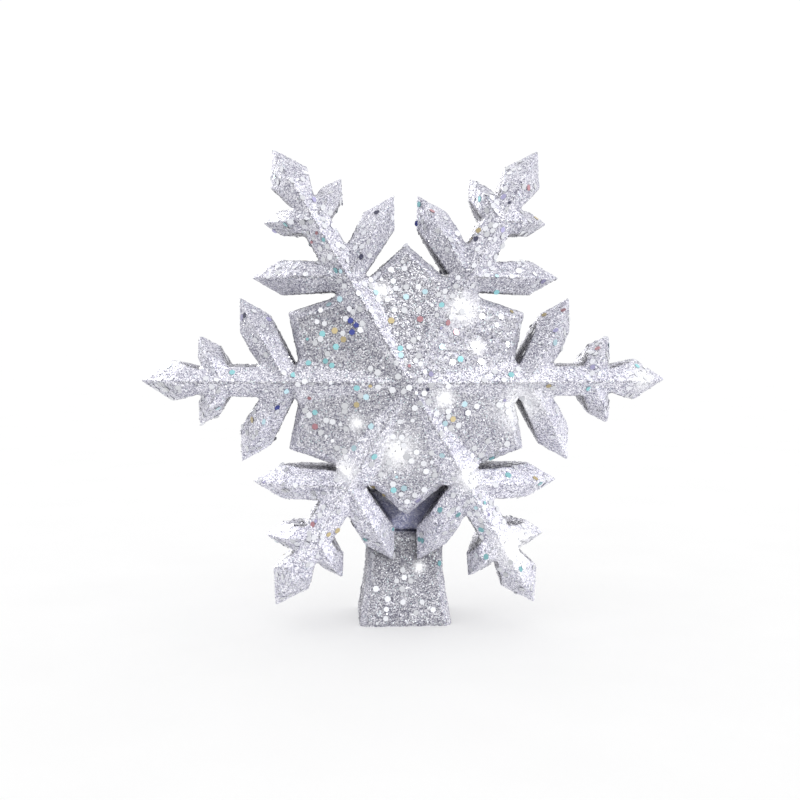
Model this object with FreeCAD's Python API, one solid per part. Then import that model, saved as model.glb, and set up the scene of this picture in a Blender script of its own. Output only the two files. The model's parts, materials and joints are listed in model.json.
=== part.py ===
import FreeCAD, Part
import math
import os

# Glittered, faceted snowflake tree topper with a rotating projector dome in its back. Sizes are in mm.
#
# Row frame:   +Z up, the snowflake faces -Y, origin at the centre of the tree socket's open mouth.
# Flake frame: used while modelling. Origin at the snowflake's centre, on the plane where its two
#              shells meet; x to the viewer's right, z up, +y towards the back. place() moves it.
# Local plan:  (s, w, h) with s along an arm or leaf, w across it and h the depth in front of the plane
#              where the shells meet.

V = FreeCAD.Vector
OUT_DIR = "parts"

# ---- where the flake sits over its socket
FLAKE_CENTRE_Z = 90.4        # above the socket's mouth
SOCKET_AXIS_Y = 14.5         # the socket's axis lies behind the plane where the shells meet

# ---- six arms, each a ridged spine with a pointed end
ARM_ANGLES = [0, 60, 120, 180, 240, 300]
ARM_TIP_R = 95.0
ARM_PLAN = [(36.0, 5.3), (62.0, 5.3), (72.0, 3.9), (83.4, 7.5)]   # (radius, half-width) to the shoulder
ARM_RIDGE_END_R = 82.0
ARM_RIDGE_SLOPE = -0.126     # fall of the ridge per mm outwards
ARM_FACET = 0.90             # fall of a side facet per mm of half-width
TIP_H = 0.8                  # depth of a pointed end at its tip
SHOULDER_H = 1.2             # depth of the edge at a pointed end's shoulder

# ---- leaves in pairs on each arm, at 60 degrees to it
LEAF_ANGLE = 60.0
INNER_LEAF = {"root": 42.3, "length": 34.2, "w0": 4.8, "w1": 6.3, "shoulder": 23.5, "ridge_end": 20.5,
              "h": 17.6, "slope": -0.22}
OUTER_LEAF = {"root": 64.7, "length": 18.7, "w0": 3.8, "w1": 4.5, "shoulder": 11.8, "ridge_end": 10.6,
              "h": 14.9, "slope": -0.20}
LEAF_FACET = 0.90

# ---- hub: six flat lobes between the arms' widening roots
HUB_H = 25.0                 # depth at the centre
HUB_RIDGE_R = 40.0
HUB_RIDGE_H = 18.4
WEDGE_HALF_ANGLE = 11.3      # an arm's root widens at this half-angle
LOBE_APEX_R = 48.4
LOBE_APEX_HALF_ANGLE = 48.0
LOBE_SLOPE = 0.30            # fall of a lobe's face per mm along its middle line
BEVEL_SCALE = 0.935          # a lobe's bevel starts at this share of its outline
BEVEL_DROP = 3.0             # how far the bevel falls at the lobe's apex

# ---- moulded shells
WALL = 1.7
ROOF_DROP = 2.1              # roof thickness, measured along the depth
CAVITY_FLOOR = -1.0          # a cavity runs past the open side of its shell by this much

# ---- shell screws, at the middle of five lobes
SHELL_SCREW_R = 37.5
SHELL_SCREW_ANGLES = [30, 90, 150, 210, 330]
SHELL_BOSS_R = 3.6
SHELL_HEAD_SEAT = 5.0        # the screws' heads sit this far behind the plane where the shells meet

# ---- drum in the rear shell that holds the projector
DRUM_R = 33.0
DRUM_BACK = 24.0
DRUM_WALL = 2.0
DOME_OPENING_R = 23.0

# ---- neck box of the rear shell, which takes the socket's tongue
NECK_HALF_X = 11.0
NECK_FRONT = 4.0
NECK_WALL = 2.0
NECK_BOTTOM_Z = -55.8
NECK_TOP_Z = -25.0
NECK_CLEAR = 0.2             # gap round the socket's tongue

# ---- tree socket: a square sleeve with cut corners that flares to its mouth
SOCKET_SECTIONS = [(-90.4, 17.1), (-80.0, 15.3), (-70.0, 13.9), (-58.4, 13.8), (-56.0, 11.6)]  # (z, half)
SOCKET_CORNER = 2.6
MOUTH_R = 14.8
MOUTH_LENGTH = 6.0
BORE_R = 11.8
BORE_TOP_Z = -58.2
BORE_BOTTOM_Z = -72.0
TONGUE_TOP_Z = -47.0
TONGUE_WALL = 2.4
SOCKET_SCREW_X = 5.0
SOCKET_SCREW_Z = -51.5

# ---- gear train of the projector
MODULE = 0.8
PRESSURE_ANGLE = 25.0
RING_TEETH = 50
PINION_TEETH = 12
BACKLASH = 0.14              # taken off each tooth's thickness at the pitch circle
GEAR_Y = (12.5, 16.5)
PINION_ANGLE = 90.0
CENTRE_DISTANCE = MODULE * (RING_TEETH + PINION_TEETH) / 2.0
RING_BORE_R = 16.0
RUNNING_GAP = 0.05
SKIRT_R = 18.4
SHAFT_R = 1.0

# ---- projector dome and its bezel
DOME_SIDES = 16
DOME_RINGS = [(23.6, 20.6), (29.6, 19.2), (34.4, 15.4), (38.0, 9.6), (39.6, 3.4)]   # (y, radius)
DOME_WALL = 1.5
DOME_FLANGE_R = 22.4
DOME_FLANGE_Y = (22.0, 23.6)
BEZEL_R = 28.6
BEZEL_BORE_R = 21.2
BEZEL_THICK = 2.4
BEZEL_SCREW_R = 25.8
BEZEL_SCREW_ANGLES = [45, 135, 225, 315]

# ---- projector chassis
PLATE_Y = (2.0, 4.0)
PLATE_R = 22.5
PLATE_HOLE_R = 13.0
COLLAR_BORE_R = 14.2
COLLAR_TOP = 21.0
THRUST_R = 18.8
LUG_R = 27.6
LUG_ANGLES = [30, 150, 270]
LENS_SEAT_Y = 16.0

# ---- heat sink, lamp board and lamps
SINK_R = 17.5
SINK_Y = (-1.0, 2.0)
SINK_SCREW_X = 15.2
FIN_REACH = -9.0
FIN_PITCH = 4.0
FIN_THICK = 1.2
LED_BOARD_R = 12.5
LED_BOARD_Y = (3.0, 4.4)
LED_RING_R = 5.2
NOTCH_Z = -10.3              # top of the notch by which the lamp leads come through sink and board

# ---- gear motor
GEARBOX_R = 7.2
GEARBOX_Y = (-5.0, 2.0)
MOTOR_R = 6.0
MOTOR_FRONT = -13.0
EAR_X = 9.6

# ---- control board and power inlet in the neck
BOARD_Y = (9.0, 10.6)
BOARD_HALF_X = 8.2
BOARD_Z = (-45.4, -31.4)
BOARD_SCREW_X = 6.7
INLET_Z = -38.6
INLET_BORE_R = 2.8


# ======================================================================= helpers
def polar(radius, degrees):
    """(x, z) in the flake frame."""
    a = math.radians(degrees)
    return radius * math.cos(a), radius * math.sin(a)


def local(s, w, h):
    """A local plan point in the flake frame."""
    return V(s, -h, w)


def polyhedron(faces):
    """A closed solid from planar faces, each a list of points."""
    shell = Part.makeShell([Part.Face(Part.makePolygon(pts + [pts[0]])) for pts in faces])
    shell.sewShape()
    solid = Part.makeSolid(shell)
    if solid.Volume < 0:
        solid.reverse()
    return solid


def turned(shape, degrees):
    """A copy turned in the flake's plane, anticlockwise as seen from the front."""
    copy = shape.copy()
    copy.rotate(V(0, 0, 0), V(0, -1, 0), degrees)
    return copy


def disc(radius, y0, y1, x=0.0, z=0.0):
    """A cylinder along y."""
    return Part.makeCylinder(radius, y1 - y0, V(x, y0, z), V(0, 1, 0))


def tube(outer, inner, y0, y1, x=0.0, z=0.0):
    return disc(outer, y0, y1, x, z).cut(disc(inner, y0 - 1, y1 + 1, x, z))


def box(x0, x1, y0, y1, z0, z1):
    return Part.makeBox(x1 - x0, y1 - y0, z1 - z0, V(x0, y0, z0))


def screw(x, z, seat, tip, head_r, head_t, shank_r):
    """A cross-head screw along y whose head's underside is at seat and whose point is at tip."""
    away = 1.0 if seat > tip else -1.0
    head_end = seat + away * head_t
    head = disc(head_r, min(seat, head_end), max(seat, head_end), x, z)
    rim = [e for e in head.Edges if abs(e.Vertexes[0].Y - head_end) < 1e-6 and e.Closed]
    head = head.makeFillet(0.35 * head_t, rim[:1])
    shank = disc(shank_r, min(seat, tip), max(seat, tip), x, z)
    slot_len = 0.62 * head_r
    slot_w = 0.14 * head_r
    slot_y = sorted([head_end + away, head_end - away * 0.45 * head_t])
    cross = box(x - slot_len, x + slot_len, slot_y[0], slot_y[1], z - slot_w, z + slot_w)
    cross = cross.fuse(box(x - slot_w, x + slot_w, slot_y[0], slot_y[1], z - slot_len, z + slot_len))
    return head.fuse(shank).cut(cross)


def place(shape):
    """From the flake frame to the row frame."""
    moved = shape.copy()
    moved.translate(V(0, -SOCKET_AXIS_Y, FLAKE_CENTRE_Z))
    return moved


def save(name, shape):
    place(shape).exportStep(os.path.join(OUT_DIR, name + ".step"))


def group(shapes):
    return Part.makeCompound(shapes)


# ======================================================================= snowflake
def crystal(plan, tip_s, ridge_h, ridge_slope, ridge_end, facet, floor):
    """A ridged bar with vertical sides and a pointed end, along +s from the first plan point.

    plan lists (s, half-width) from the root to the shoulder. The roof has two side facets that fall
    away from the ridge and two end facets that run down to the tip.
    """
    s0 = plan[0][0]
    s_last, w_last = plan[-1]

    def side(s, w):
        return ridge_h + ridge_slope * (s - s0) - facet * w

    fall = (side(ridge_end, 0) - TIP_H) / (tip_s - ridge_end)
    across = (TIP_H + fall * (tip_s - s_last) - SHOULDER_H) / w_last

    def end(s, w):
        return TIP_H + fall * (tip_s - s) - across * w

    s_a, w_a = plan[-2]
    gap_a = end(s_a, w_a) - side(s_a, w_a)
    gap_b = end(s_last, w_last) - side(s_last, w_last)
    t = gap_a / (gap_a - gap_b)
    break_s = s_a + t * (s_last - s_a)
    break_w = w_a + t * (w_last - w_a)

    ridge_root = local(s0, 0, ridge_h)
    ridge_tip = local(ridge_end, 0, side(ridge_end, 0))
    tip_top = local(tip_s, 0, TIP_H)
    tip_base = local(tip_s, 0, floor)
    base, edge, turn, shoulder = {}, {}, {}, {}
    for k in (-1, 1):
        base[k] = [local(s, k * w, floor) for s, w in plan]
        edge[k] = [local(s, k * w, side(s, w)) for s, w in plan[:-1]]
        turn[k] = local(break_s, k * break_w, side(break_s, break_w))
        shoulder[k] = local(s_last, k * w_last, SHOULDER_H)

    faces = [base[-1] + [tip_base] + base[1][::-1],
             [base[-1][0], base[1][0], edge[1][0], ridge_root, edge[-1][0]]]
    for k in (-1, 1):
        for i in range(len(plan) - 2):
            faces.append([base[k][i], base[k][i + 1], edge[k][i + 1], edge[k][i]])
        faces.append([base[k][-2], base[k][-1], shoulder[k], turn[k], edge[k][-1]])
        faces.append([base[k][-1], tip_base, tip_top, shoulder[k]])
        faces.append(edge[k] + [turn[k], ridge_tip, ridge_root])
        faces.append([turn[k], shoulder[k], tip_top, ridge_tip])
    return polyhedron(faces)


def arm_bar(hollow):
    """One arm's spine, or the cavity inside it."""
    s0 = ARM_PLAN[0][0]
    ridge_h = HUB_RIDGE_H + ARM_RIDGE_SLOPE * (s0 - HUB_RIDGE_R)
    if not hollow:
        return crystal(ARM_PLAN, ARM_TIP_R, ridge_h, ARM_RIDGE_SLOPE, ARM_RIDGE_END_R, ARM_FACET, 0.0)
    plan = [(s, w - WALL) for s, w in ARM_PLAN[:-1]]
    plan.append((ARM_PLAN[-1][0] - 1.0, ARM_PLAN[-1][1] - 2.2))
    return crystal(plan, ARM_TIP_R - 6.0, ridge_h - ROOF_DROP, ARM_RIDGE_SLOPE, ARM_RIDGE_END_R - 2.4,
                   ARM_FACET, CAVITY_FLOOR)


def leaf_bar(leaf, hollow):
    """One leaf along +s, or the cavity inside it."""
    if not hollow:
        plan = [(0.0, leaf["w0"]), (leaf["shoulder"], leaf["w1"])]
        return crystal(plan, leaf["length"], leaf["h"], leaf["slope"], leaf["ridge_end"], LEAF_FACET, 0.0)
    plan = [(0.0, leaf["w0"] - WALL), (leaf["shoulder"] - 1.2, leaf["w1"] - 2.2)]
    return crystal(plan, leaf["length"] - 5.2, leaf["h"] - ROOF_DROP, leaf["slope"],
                   leaf["ridge_end"] - 2.2, LEAF_FACET, CAVITY_FLOOR)


def hub(shrink, drop, floor):
    """The hub with its lobes and arm roots, front face at its own heights less drop."""
    apex_r = LOBE_APEX_R * shrink
    edge_dist = apex_r * math.sin(math.radians(LOBE_APEX_HALF_ANGLE))
    to_bisector = 30.0 - WEDGE_HALF_ANGLE
    normal_angle = 90.0 - LOBE_APEX_HALF_ANGLE
    corner_r = edge_dist / math.cos(math.radians(normal_angle - to_bisector))

    def lobe_h(radius, off_bisector):
        return HUB_H - drop - LOBE_SLOPE * radius * math.cos(math.radians(off_bisector))

    def point(radius, degrees, h):
        x, z = polar(radius, degrees)
        return V(x, -h, z)

    ridge_r = HUB_RIDGE_R * shrink
    ridge_h = HUB_H - drop + (HUB_RIDGE_H - HUB_H) * shrink
    centre = V(0, -(HUB_H - drop), 0)
    inner_r = corner_r * BEVEL_SCALE
    faces = []
    floor_outline = []
    for arm in ARM_ANGLES:
        mid = arm + 30.0
        apex_in = point(apex_r * BEVEL_SCALE, mid, lobe_h(apex_r * BEVEL_SCALE, 0))
        apex_out = point(apex_r, mid, lobe_h(apex_r, 0) - BEVEL_DROP)
        apex_base = point(apex_r, mid, floor)
        inner = {}
        for sign, side_angle in ((1, arm + WEDGE_HALF_ANGLE), (-1, arm + 60.0 - WEDGE_HALF_ANGLE)):
            ridge_angle = arm if sign == 1 else arm + 60.0
            ridge = point(ridge_r, ridge_angle, ridge_h)
            ridge_base = point(ridge_r, ridge_angle, floor)
            corner = point(corner_r, side_angle, lobe_h(corner_r, to_bisector))
            corner_base = point(corner_r, side_angle, floor)
            inner[sign] = point(inner_r, side_angle, lobe_h(inner_r, to_bisector))
            normal = (apex_in - inner[sign]).cross(apex_out - inner[sign])
            offset = normal.x * (corner.x - inner[sign].x) + normal.z * (corner.z - inner[sign].z)
            low = V(corner.x, inner[sign].y - offset / normal.y, corner.z)
            faces.append([centre, ridge, corner, inner[sign]])
            faces.append([inner[sign], corner, low])
            faces.append([inner[sign], low, apex_out, apex_in])
            faces.append([corner_base, apex_base, apex_out, low])
            faces.append([ridge_base, corner_base, low, corner, ridge])
            if sign == 1:
                floor_outline += [ridge_base, corner_base, apex_base]
            else:
                floor_outline += [corner_base]
        faces.append([centre, inner[1], apex_in, inner[-1]])
    faces.append(floor_outline)
    return polyhedron(faces)


def flake_bars(hollow):
    """Every arm and leaf, or every cavity inside them."""
    arm = [arm_bar(hollow)]
    for leaf in (INNER_LEAF, OUTER_LEAF):
        for sign in (-1, 1):
            bar = turned(leaf_bar(leaf, hollow), sign * LEAF_ANGLE)
            bar.translate(V(leaf["root"], 0, 0))
            arm.append(bar)
    return [turned(bar, angle) for angle in ARM_ANGLES for bar in arm]


def flake_outside():
    return hub(1.0, 0.0, 0.0).fuse(flake_bars(False))


def flake_inside():
    edge_dist = LOBE_APEX_R * math.sin(math.radians(LOBE_APEX_HALF_ANGLE))
    shrink = (edge_dist - WALL) / edge_dist
    return hub(shrink, ROOF_DROP, CAVITY_FLOOR).fuse(flake_bars(True))


def front_shell(outside, inside):
    shell = outside.cut(inside)
    for angle in SHELL_SCREW_ANGLES:
        x, z = polar(SHELL_SCREW_R, angle)
        boss = disc(SHELL_BOSS_R, -20.0, 0.0, x, z).common(outside)
        shell = shell.fuse(boss.cut(disc(1.35, -9.6, 1.0, x, z)))
    return shell.removeSplitter()


def rear_shell(outside, inside):
    """The mirrored flake with the projector's drum, the neck box and every screw boss."""
    flip = (V(0, 0, 0), V(0, 1, 0))
    body = outside.mirror(*flip).fuse([
        disc(DRUM_R, 0.0, DRUM_BACK),
        box(-NECK_HALF_X, NECK_HALF_X, NECK_FRONT, DRUM_BACK, NECK_BOTTOM_Z, NECK_TOP_Z)])
    solid_body = body
    inner_x = NECK_HALF_X - NECK_WALL
    body = body.cut([
        inside.mirror(*flip),
        disc(DRUM_R - DRUM_WALL, -1.0, DRUM_BACK - DRUM_WALL),
        box(-inner_x, inner_x, NECK_FRONT + NECK_WALL, DRUM_BACK - NECK_WALL, NECK_BOTTOM_Z - 1, NECK_TOP_Z),
        disc(DOME_OPENING_R, 5.0, DRUM_BACK + 5.0)])
    room = SOCKET_SECTIONS[3][1] + 0.6
    body = body.cut(box(-room, room, -1.0, 40.0, -100.0, NECK_BOTTOM_Z))

    back_in = DRUM_BACK - DRUM_WALL
    bosses = []
    holes = []
    for angle in SHELL_SCREW_ANGLES:
        x, z = polar(SHELL_SCREW_R, angle)
        bosses.append(disc(SHELL_BOSS_R, 0.0, 20.0, x, z).common(solid_body))
        holes.append(disc(1.5, -1.0, 20.0, x, z))
        holes.append(disc(2.7, SHELL_HEAD_SEAT, 30.0, x, z))
    for angle in LUG_ANGLES:
        x, z = polar(LUG_R, angle)
        bosses.append(disc(2.7, PLATE_Y[1], back_in, x, z))
        holes.append(disc(1.15, PLATE_Y[1] - 1, PLATE_Y[1] + 8.0, x, z))
    for angle in BEZEL_SCREW_ANGLES:
        x, z = polar(BEZEL_SCREW_R, angle)
        bosses.append(disc(2.4, 17.5, back_in, x, z))
        holes.append(disc(0.95, 18.5, DRUM_BACK + 1.0, x, z))
    for sign in (-1, 1):
        bosses.append(disc(1.9, BOARD_Y[1], back_in, sign * BOARD_SCREW_X, INLET_Z))
        holes.append(disc(0.85, BOARD_Y[1] - 1, BOARD_Y[1] + 6.0, sign * BOARD_SCREW_X, INLET_Z))
        holes.append(disc(1.4, back_in - 0.5, DRUM_BACK + 1, sign * SOCKET_SCREW_X, SOCKET_SCREW_Z))
    holes.append(disc(4.1, back_in - 1.0, DRUM_BACK + 1.0, 0.0, INLET_Z))
    return body.fuse(bosses).cut(holes).removeSplitter()


# ======================================================================= tree socket
def socket_section(z, half):
    """A square with cut corners, as a closed wire across the socket's axis."""
    c = SOCKET_CORNER * half / SOCKET_SECTIONS[0][1]
    a = half - c
    corners = [(half, -a), (half, a), (a, half), (-a, half), (-half, a), (-half, -a), (-a, -half), (a, -half)]
    pts = [V(x, SOCKET_AXIS_Y + y, z) for x, y in corners]
    return Part.makePolygon(pts + [pts[0]])


def tree_socket():
    sleeve = Part.makeLoft([socket_section(z, half) for z, half in SOCKET_SECTIONS], True, True)
    up = V(0, 0, 1)
    mouth_z = -FLAKE_CENTRE_Z
    mouth = Part.makeCylinder(MOUTH_R, MOUTH_LENGTH, V(0, SOCKET_AXIS_Y, mouth_z), up)
    taper_z = mouth_z + MOUTH_LENGTH
    taper = Part.makeCone(MOUTH_R, BORE_R, BORE_BOTTOM_Z - taper_z, V(0, SOCKET_AXIS_Y, taper_z), up)
    bore = Part.makeCylinder(BORE_R, BORE_TOP_Z - BORE_BOTTOM_Z, V(0, SOCKET_AXIS_Y, BORE_BOTTOM_Z), up)
    sleeve = sleeve.cut([mouth, taper, bore])

    half_x = NECK_HALF_X - NECK_WALL - NECK_CLEAR
    front = NECK_FRONT + NECK_WALL + NECK_CLEAR
    back = DRUM_BACK - NECK_WALL - NECK_CLEAR
    top_z = SOCKET_SECTIONS[-1][0]
    tongue = box(-half_x, half_x, front, back, top_z - 1.0, TONGUE_TOP_Z)
    hollow = box(-half_x + TONGUE_WALL, half_x - TONGUE_WALL, front + TONGUE_WALL, back - TONGUE_WALL,
                 top_z, TONGUE_TOP_Z + 1.0)
    tongue = tongue.cut(hollow)
    for sign in (-1, 1):
        post = disc(2.4, back - 8.0, back - 0.5, sign * SOCKET_SCREW_X, SOCKET_SCREW_Z)
        tongue = tongue.fuse(post).cut(disc(1.1, back - 7.4, back + 1, sign * SOCKET_SCREW_X, SOCKET_SCREW_Z))
    return sleeve.fuse(tongue).removeSplitter()


# ======================================================================= gears
def gear_face(teeth, phase_degrees):
    """An involute gear's outline as a face in the flake's plane, a tooth centred on the phase angle."""
    pitch_r = MODULE * teeth / 2.0
    base_r = pitch_r * math.cos(math.radians(PRESSURE_ANGLE))
    tip_r = pitch_r + MODULE
    root_r = pitch_r - 1.25 * MODULE
    half_thick = (math.pi * MODULE / 2.0 - BACKLASH) / (2.0 * pitch_r)

    def involute(radius):
        """Angle from the involute's start to the given radius."""
        roll = math.sqrt(max((radius / base_r) ** 2 - 1.0, 0.0))
        return roll - math.atan(roll)

    flank_steps = 4
    start_r = max(base_r, root_r)
    flank = []
    for i in range(flank_steps + 1):
        radius = start_r + (tip_r - start_r) * i / flank_steps
        flank.append((radius, half_thick + involute(pitch_r) - involute(radius)))
    if root_r < base_r:
        flank.insert(0, (root_r, flank[0][1]))
    pts = []
    for k in range(teeth):
        middle = math.radians(phase_degrees) + 2.0 * math.pi * k / teeth
        for radius, off in flank:
            pts.append(polar(radius, math.degrees(middle - off)))
        for radius, off in reversed(flank):
            pts.append(polar(radius, math.degrees(middle + off)))
    wire = Part.makePolygon([V(x, 0, z) for x, z in pts + [pts[0]]])
    return Part.Face(wire)


def gear(teeth, phase_degrees, x, z):
    face = gear_face(teeth, phase_degrees)
    face.translate(V(x, GEAR_Y[0], z))
    return face.extrude(V(0, GEAR_Y[1] - GEAR_Y[0], 0))


def ring_gear():
    """The dome's gear ring with the skirt that carries the dome."""
    blank = gear(RING_TEETH, PINION_ANGLE, 0.0, 0.0)
    skirt = disc(SKIRT_R, GEAR_Y[0], DOME_FLANGE_Y[0])
    return blank.fuse(skirt).cut(disc(RING_BORE_R, GEAR_Y[0] - 1, DOME_FLANGE_Y[0] + 1)).removeSplitter()


def drive_pinion():
    x, z = polar(CENTRE_DISTANCE, PINION_ANGLE)
    gap_faces_ring = PINION_ANGLE + 180.0 + 180.0 / PINION_TEETH
    teeth = gear(PINION_TEETH, gap_faces_ring, x, z)
    collar = disc(2.6, GEAR_Y[0] - 2.0, GEAR_Y[0], x, z)
    return teeth.fuse(collar).cut(disc(SHAFT_R, 0.0, 20.0, x, z)).removeSplitter()


def motor_shaft():
    x, z = polar(CENTRE_DISTANCE, PINION_ANGLE)
    return disc(SHAFT_R, -3.0, GEAR_Y[1] + 0.4, x, z)


# ======================================================================= projector dome
def faceted_dome(rings, sides):
    """A solid whose level rings have straight sides."""
    levels = []
    for i, (y, radius) in enumerate(rings):
        turn = 180.0 / sides * (i % 2)
        ring = [polar(radius, turn + 360.0 * k / sides) for k in range(sides)]
        levels.append([V(x, y, z) for x, z in ring])
    faces = [levels[0], levels[-1]]
    for i in range(len(levels) - 1):
        low, high = levels[i], levels[i + 1]
        for k in range(sides):
            n = (k + 1) % sides
            if i % 2 == 0:
                faces.append([low[k], low[n], high[k]])
                faces.append([low[n], high[n], high[k]])
            else:
                faces.append([low[k], low[n], high[n]])
                faces.append([low[k], high[n], high[k]])
    return polyhedron(faces)


def projector_dome():
    outside = faceted_dome(DOME_RINGS, DOME_SIDES)
    inner_rings = [(y - DOME_WALL, radius - DOME_WALL) for y, radius in DOME_RINGS]
    inner_rings[0] = (DOME_RINGS[0][0], inner_rings[0][1])
    inside = faceted_dome(inner_rings, DOME_SIDES)
    hole_r = DOME_RINGS[0][1] - 2.0 * DOME_WALL
    flange = tube(DOME_FLANGE_R, hole_r, DOME_FLANGE_Y[0], DOME_FLANGE_Y[1])
    return outside.cut(inside).fuse(flange)


def dome_bezel():
    ring = disc(BEZEL_R, DRUM_BACK, DRUM_BACK + BEZEL_THICK)
    ring = ring.cut(disc(BEZEL_BORE_R, DRUM_BACK - 1, DRUM_BACK + BEZEL_THICK + 1))
    outer_back = [e for e in ring.Edges if e.Closed and abs(e.Vertexes[0].Y - DRUM_BACK - BEZEL_THICK) < 1e-6]
    ring = ring.makeFillet(0.6, outer_back)
    holes = []
    for angle in BEZEL_SCREW_ANGLES:
        x, z = polar(BEZEL_SCREW_R, angle)
        holes.append(disc(1.1, DRUM_BACK - 1, DRUM_BACK + BEZEL_THICK + 1, x, z))
        holes.append(disc(1.8, DRUM_BACK + 1.2, DRUM_BACK + BEZEL_THICK + 1, x, z))
    return ring.cut(holes)


def projector_chassis():
    """Plate with screw lugs, motor pad and the collar on which the gear ring turns."""
    mx, mz = polar(CENTRE_DISTANCE, PINION_ANGLE)
    y0, y1 = PLATE_Y
    parts = [disc(8.4, y0, y1, mx, mz), box(-EAR_X - 2.2, EAR_X + 2.2, y0, y1, mz - 4.0, mz + 3.0)]
    for angle in LUG_ANGLES:
        lug = turned(box(18.0, LUG_R, y0, y1, -3.0, 3.0), angle)
        x, z = polar(LUG_R, angle)
        parts += [lug, disc(3.0, y0, y1, x, z)]
    collar_r = RING_BORE_R - RUNNING_GAP
    parts.append(disc(collar_r, y1 - 0.5, COLLAR_TOP))
    parts.append(disc(THRUST_R, GEAR_Y[0] - 2.1, GEAR_Y[0] - 0.1))
    for k in range(6):
        rib = box(collar_r - 1.0, THRUST_R - 0.6, y1 - 0.5, GEAR_Y[0] - 2.0, -0.7, 0.7)
        parts.append(turned(rib, 30.0 + 60.0 * k))
    body = disc(PLATE_R, y0, y1).fuse(parts)
    holes = [disc(PLATE_HOLE_R, y0 - 1, LENS_SEAT_Y),
             disc(COLLAR_BORE_R, y1, LENS_SEAT_Y - 1.2),
             disc(COLLAR_BORE_R, LENS_SEAT_Y, COLLAR_TOP + 1),
             disc(2.5, y0 - 1, y1 + 1, mx, mz)]
    for sign in (-1, 1):
        holes.append(disc(0.85, y0 - 1, y1 + 1, sign * EAR_X, mz))
        holes.append(disc(1.05, y0 - 1, y1 + 1, sign * SINK_SCREW_X, 0.0))
    for angle in LUG_ANGLES:
        x, z = polar(LUG_R, angle)
        holes.append(disc(1.4, y0 - 1, y1 + 1, x, z))
    return body.cut(holes).removeSplitter()


def condenser_lens():
    """Plano-convex lens that drops on to the step in the collar."""
    rim_r = COLLAR_BORE_R - 0.1
    rim_t = 1.4
    rise = 3.2
    sphere_r = (rim_r ** 2 + rise ** 2) / (2.0 * rise)
    top = LENS_SEAT_Y + rim_t + rise
    ball = Part.makeSphere(sphere_r, V(0, top - sphere_r, 0))
    return disc(rim_r, LENS_SEAT_Y, top + 1).common(ball)


def heat_sink():
    base = disc(SINK_R, SINK_Y[0], SINK_Y[1]).fuse(disc(LED_BOARD_R, SINK_Y[1], LED_BOARD_Y[0]))
    fins = []
    for k in range(-3, 4):
        x = k * FIN_PITCH
        reach = math.sqrt((SINK_R - 0.3) ** 2 - (abs(x) + FIN_THICK / 2.0) ** 2)
        fins.append(box(x - FIN_THICK / 2.0, x + FIN_THICK / 2.0, FIN_REACH, SINK_Y[0] + 0.5, -reach, reach))
    sink = base.fuse(fins)
    holes = [disc(1.2, SINK_Y[0] - 1, SINK_Y[1] + 1, sign * SINK_SCREW_X, 0.0) for sign in (-1, 1)]
    for sign in (-1, 1):
        holes.append(box(sign * 1.4 - 0.8, sign * 1.4 + 0.8, SINK_Y[0] - 0.6, LED_BOARD_Y[0] + 1,
                         -SINK_R - 1, NOTCH_Z))
    return sink.cut(holes).removeSplitter()


def led_board():
    """Metal-backed disc with a wire notch at its lower edge."""
    board = disc(LED_BOARD_R, LED_BOARD_Y[0], LED_BOARD_Y[1])
    return board.cut(box(-2.2, 2.2, LED_BOARD_Y[0] - 1, LED_BOARD_Y[1] + 1, -LED_BOARD_R - 1, NOTCH_Z))


def leds():
    lamps = []
    for k in range(4):
        x, z = polar(LED_RING_R, 45.0 + 90.0 * k)
        y = LED_BOARD_Y[1]
        chip = box(x - 1.75, x + 1.75, y, y + 1.1, z - 1.75, z + 1.75)
        cap = Part.makeSphere(1.4, V(x, y + 1.1, z))
        lamps.append(chip.fuse(cap.common(box(x - 2, x + 2, y + 0.5, y + 4, z - 2, z + 2))))
    return group(lamps)


def gear_motor():
    """Motor can, gearbox, two fixing ears and the output boss."""
    x, z = polar(CENTRE_DISTANCE, PINION_ANGLE)
    gearbox = disc(GEARBOX_R, GEARBOX_Y[0], GEARBOX_Y[1], x, z)
    can = disc(MOTOR_R, MOTOR_FRONT, GEARBOX_Y[0] + 0.5, x, z)
    cap = disc(2.2, MOTOR_FRONT - 0.8, MOTOR_FRONT + 0.5, x, z)
    ears = box(-EAR_X, EAR_X, GEARBOX_Y[1] - 1.2, GEARBOX_Y[1], z - 2.0, z + 2.0)
    ear_ends = [disc(2.0, GEARBOX_Y[1] - 1.2, GEARBOX_Y[1], sign * EAR_X, z) for sign in (-1, 1)]
    boss = disc(2.4, GEARBOX_Y[1] - 0.5, PLATE_Y[1] + 0.3, x, z)
    tabs = [box(sign * 2.6 - 0.7, sign * 2.6 + 0.7, MOTOR_FRONT - 1.4, MOTOR_FRONT + 0.5, z - 3.6, z - 3.2)
            for sign in (-1, 1)]
    body = gearbox.fuse([can, cap, ears, boss] + ear_ends + tabs)
    holes = [disc(0.95, GEARBOX_Y[1] - 3, GEARBOX_Y[1] + 1, sign * EAR_X, z) for sign in (-1, 1)]
    holes.append(disc(SHAFT_R + RUNNING_GAP, -3.2, PLATE_Y[1] + 1, x, z))
    return body.cut(holes).removeSplitter()


# ======================================================================= power and control
def control_board():
    board = box(-BOARD_HALF_X, BOARD_HALF_X, BOARD_Y[0], BOARD_Y[1], BOARD_Z[0], BOARD_Z[1])
    return board.cut([disc(0.95, BOARD_Y[0] - 1, BOARD_Y[1] + 1, sign * BOARD_SCREW_X, INLET_Z)
                      for sign in (-1, 1)])


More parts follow.
